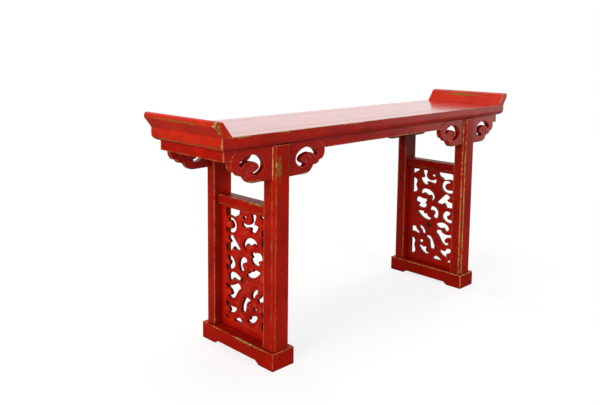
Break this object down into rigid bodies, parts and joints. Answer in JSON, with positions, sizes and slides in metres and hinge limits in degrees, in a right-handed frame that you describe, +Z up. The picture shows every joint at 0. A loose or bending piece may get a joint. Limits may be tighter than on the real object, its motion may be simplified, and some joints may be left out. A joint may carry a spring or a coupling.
{
  "type": "chinese altar table",
  "caption": "Long, narrow altar table in worn red lacquer with upturned flanges, cloud spandrels and pierced carved panels in its trestle ends.",
  "frame": {"origin": "on the floor under the middle of the table, the bottom centre of its bounding box", "axes": "+X along the table's length, +Y from the front to the back, +Z up"},
  "size_m": [1.8302, 0.4, 0.9051],
  "materials": {
    "red_lacquer_top": "worn glossy red lacquer",
    "red_lacquer": "worn satin red lacquer",
    "bare_timber": "plain dark timber"
  },
  "bodies": {
    "root": {"apron_front": "red_lacquer", "apron_left": "red_lacquer", "apron_rear": "red_lacquer", "apron_right": "red_lacquer", "batten_1": "bare_timber", "batten_2": "bare_timber", "batten_3": "bare_timber", "batten_4": "bare_timber", "batten_5": "bare_timber", "batten_6": "bare_timber", "board_front": "red_lacquer_top", "board_rear": "red_lacquer_top", "flange_left": "red_lacquer_top", "flange_right": "red_lacquer_top", "foot_left": "red_lacquer", "foot_right": "red_lacquer", "leg_left_front": "red_lacquer", "leg_left_rear": "red_lacquer", "leg_right_front": "red_lacquer", "leg_right_rear": "red_lacquer", "panel_left": "red_lacquer", "panel_right": "red_lacquer", "spandrel_left_front_inner": "red_lacquer", "spandrel_left_front_outer": "red_lacquer", "spandrel_left_rear_inner": "red_lacquer", "spandrel_left_rear_outer": "red_lacquer", "spandrel_right_front_inner": "red_lacquer", "spandrel_right_front_outer": "red_lacquer", "spandrel_right_rear_inner": "red_lacquer", "spandrel_right_rear_outer": "red_lacquer", "stretcher_left": "red_lacquer", "stretcher_right": "red_lacquer", "top_front_rail": "red_lacquer_top", "top_left_rail": "red_lacquer_top", "top_rear_rail": "red_lacquer_top", "top_right_rail": "red_lacquer_top"}
  },
  "joints": []
}
